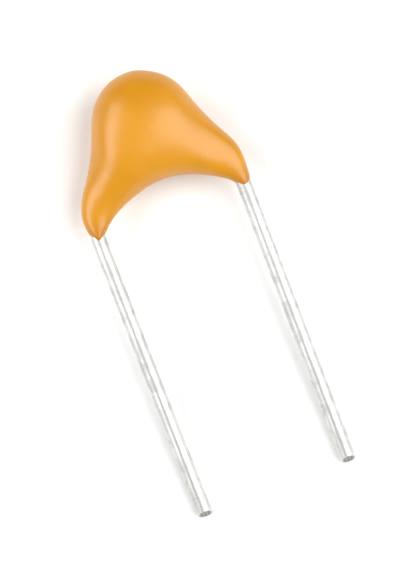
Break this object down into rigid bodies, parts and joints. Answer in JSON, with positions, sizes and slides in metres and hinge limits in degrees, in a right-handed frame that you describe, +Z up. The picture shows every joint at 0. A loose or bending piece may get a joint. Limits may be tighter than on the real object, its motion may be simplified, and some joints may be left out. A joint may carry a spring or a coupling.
{
  "type": "radial-leaded dipped multilayer ceramic capacitor",
  "caption": "Small ceramic capacitor: a bulb-shaped dip of orange-yellow epoxy over a soldered multilayer chip, on straight tinned wire leads.",
  "frame": {"origin": "under the middle of the whole part's box, on the table that it lies on", "axes": "+Y from the lead tips to the coating's crown, +X across the leads, +Z up from the table, out of the coating's upper face"},
  "size_m": [0.0058, 0.0146, 0.0024],
  "materials": {
    "epoxy": "satin-gloss dipped epoxy, orange-yellow",
    "tinned_wire": "hot-tinned steel wire, bright with faint drawing marks",
    "ceramic": "sintered barium titanate, fine-grained, light brown",
    "electrode_metal": "fired nickel print, dull",
    "fired_silver": "fired thick-film silver, matt",
    "solder": "tin solder, smooth fillets"
  },
  "bodies": {
    "root": {"ceramic_body": "ceramic", "epoxy_coating": "epoxy", "left_electrode_1": "electrode_metal", "left_electrode_10": "electrode_metal", "left_electrode_2": "electrode_metal", "left_electrode_3": "electrode_metal", "left_electrode_4": "electrode_metal", "left_electrode_5": "electrode_metal", "left_electrode_6": "electrode_metal", "left_electrode_7": "electrode_metal", "left_electrode_8": "electrode_metal", "left_electrode_9": "electrode_metal", "left_lead": "tinned_wire", "left_silver_cap": "fired_silver", "left_solder_joint": "solder", "right_electrode_1": "electrode_metal", "right_electrode_10": "electrode_metal", "right_electrode_2": "electrode_metal", "right_electrode_3": "electrode_metal", "right_electrode_4": "electrode_metal", "right_electrode_5": "electrode_metal", "right_electrode_6": "electrode_metal", "right_electrode_7": "electrode_metal", "right_electrode_8": "electrode_metal", "right_electrode_9": "electrode_metal", "right_lead": "tinned_wire", "right_silver_cap": "fired_silver", "right_solder_joint": "solder"}
  },
  "joints": []
}
